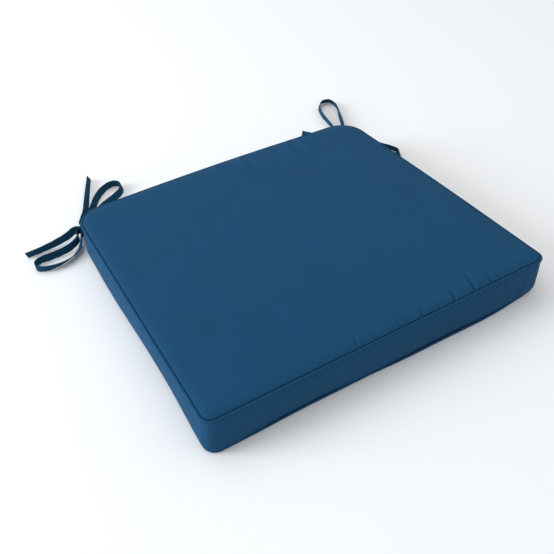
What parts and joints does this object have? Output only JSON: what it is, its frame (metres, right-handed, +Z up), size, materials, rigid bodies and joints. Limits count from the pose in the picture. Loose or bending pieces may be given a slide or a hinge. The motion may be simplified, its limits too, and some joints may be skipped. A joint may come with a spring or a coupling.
{
  "type": "chair seat pad",
  "caption": "Boxed seat pad with piped edges, foam filling, rear zip and cloth ties bowed at the two back corners.",
  "frame": {"origin": "Centre of the pad's flat underside, midway between the outer edges of the piping.", "axes": "+Z up out of the seat, +Y towards the chair's back where the ties and the zip are, +X to the right seen from the front edge."},
  "size_m": [0.5915, 0.5597, 0.0551],
  "materials": {
    "foam": "open-cell polyurethane seat foam",
    "wadding": "white polyester wadding",
    "cover_cloth": "matt plain-woven canvas, petrol blue",
    "piping_cloth": "the same canvas cut on the bias over a cord",
    "piping_cord": "twisted cotton filler cord",
    "zip_tape": "woven polyester zip tape",
    "zip_coil": "nylon coil",
    "zip_metal": "plated zinc",
    "tie_cloth": "the same canvas folded and edge-stitched"
  },
  "bodies": {
    "pad": {"foam_core": "foam", "wadding_top": "wadding", "wadding_bottom": "wadding", "cover_top_panel": "cover_cloth", "cover_bottom_panel": "cover_cloth", "boxing_front_and_sides": "cover_cloth", "boxing_rear_upper": "cover_cloth", "boxing_rear_lower": "cover_cloth", "piping_cover_top": "piping_cloth", "piping_cover_bottom": "piping_cloth", "piping_cord_top": "piping_cord", "piping_cord_bottom": "piping_cord", "zip_tape_upper": "zip_tape", "zip_tape_lower": "zip_tape", "zip_coil_upper": "zip_coil", "zip_coil_lower": "zip_coil", "zip_top_stop_upper": "zip_metal", "zip_top_stop_lower": "zip_metal", "zip_bottom_stop": "zip_metal", "tie_left_back_lead": "tie_cloth", "tie_left_back_loop": "tie_cloth", "tie_left_back_tail": "tie_cloth", "tie_left_side_lead": "tie_cloth", "tie_left_side_loop": "tie_cloth", "tie_left_side_tail": "tie_cloth", "tie_right_back_lead": "tie_cloth", "tie_right_back_loop": "tie_cloth", "tie_right_back_tail": "tie_cloth", "tie_right_side_lead": "tie_cloth", "tie_right_side_loop": "tie_cloth", "tie_right_side_tail": "tie_cloth", "tie_knot_left": "tie_cloth", "tie_knot_right": "tie_cloth"},
    "slider": {"zip_slider": "zip_metal"},
    "pull_tab": {"zip_pull_tab": "zip_metal"}
  },
  "joints": [
    {"name": "zip_slide", "type": "slide", "parent": "pad", "child": "slider", "axis": [1, 0, 0], "range_m": [-0.32, 0]},
    {"name": "pull_tab_flip", "type": "hinge", "parent": "slider", "child": "pull_tab", "pos_m": [0.16, 0.20585, 0.02527], "axis": [0, 0, 1], "range_deg": [-180, 0]}
  ]
}
